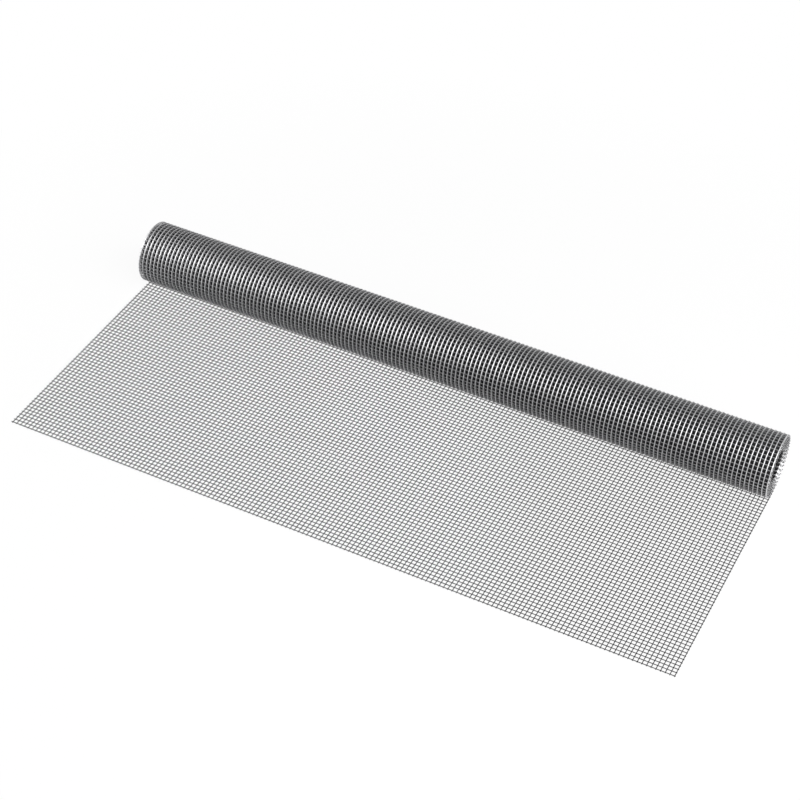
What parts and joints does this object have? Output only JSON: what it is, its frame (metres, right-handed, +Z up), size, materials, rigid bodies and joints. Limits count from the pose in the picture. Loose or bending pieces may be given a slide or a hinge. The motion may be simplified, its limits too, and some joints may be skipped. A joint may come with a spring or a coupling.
{
  "type": "roll of welded wire mesh",
  "caption": "Roll of fine galvanised welded wire mesh for fencing, lying on its side with its outer end unrolled flat in front and an open bore for a pole.",
  "frame": {"origin": "on the floor, below the middle of the whole part", "axes": "+X along the roll, +Y from the free edge of the mesh towards the roll, +Z up"},
  "size_m": [1, 0.4344, 0.0944],
  "materials": {
    "galvanised_wire": "drawn steel wire, welded and hot-dip galvanised, dull grey"
  },
  "bodies": {
    "root": {"roll": "galvanised_wire", "line_wires": "galvanised_wire", "cross_wires": "galvanised_wire"}
  },
  "joints": []
}
